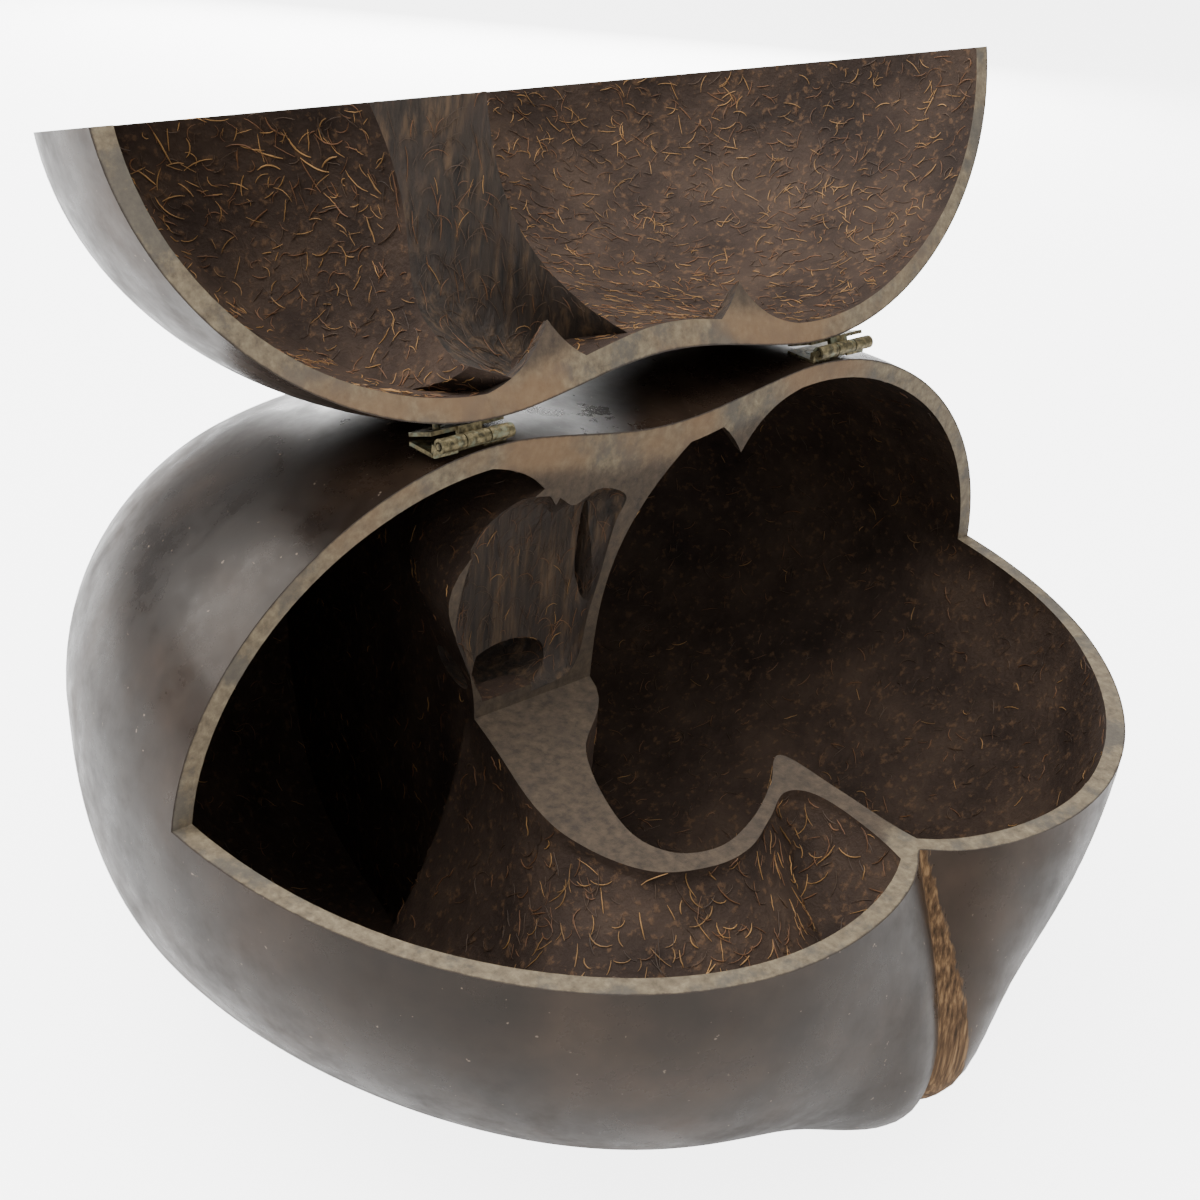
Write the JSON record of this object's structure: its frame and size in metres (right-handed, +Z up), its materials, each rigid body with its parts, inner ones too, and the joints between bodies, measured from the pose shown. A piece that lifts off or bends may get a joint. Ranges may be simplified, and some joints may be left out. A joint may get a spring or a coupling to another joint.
{
  "type": "coco de mer box",
  "caption": "Polished coco de mer shell made into a box, its front top quarter sawn free as a lid on two brass butt hinges.",
  "frame": {"origin": "on the floor, straight under the middle of the hinge line", "axes": "+Z up, +X along the hinge line to the right seen from the front, front with the cleft towards -Y"},
  "size_m": [0.2772, 0.2363, 0.2331],
  "materials": {
    "nut_shell": "polished",
    "brass": "satin",
    "steel": "satin"
  },
  "bodies": {
    "base": {"base_shell": "nut_shell", "left_hinge_base_leaf": "brass", "left_hinge_pin": "brass", "right_hinge_base_leaf": "brass", "right_hinge_pin": "brass", "left_hinge_base_screw_1": "steel", "left_hinge_base_screw_2": "steel", "right_hinge_base_screw_1": "steel", "right_hinge_base_screw_2": "steel"},
    "lid": {"lid_shell": "nut_shell", "left_hinge_lid_leaf": "brass", "right_hinge_lid_leaf": "brass", "left_hinge_lid_screw_1": "steel", "left_hinge_lid_screw_2": "steel", "right_hinge_lid_screw_1": "steel", "right_hinge_lid_screw_2": "steel"}
  },
  "joints": [
    {"name": "lid_hinge", "type": "hinge", "parent": "base", "child": "lid", "pos_m": [0, 0, 0.1655], "axis": [1, 0, 0], "range_deg": [0, 200]}
  ]
}
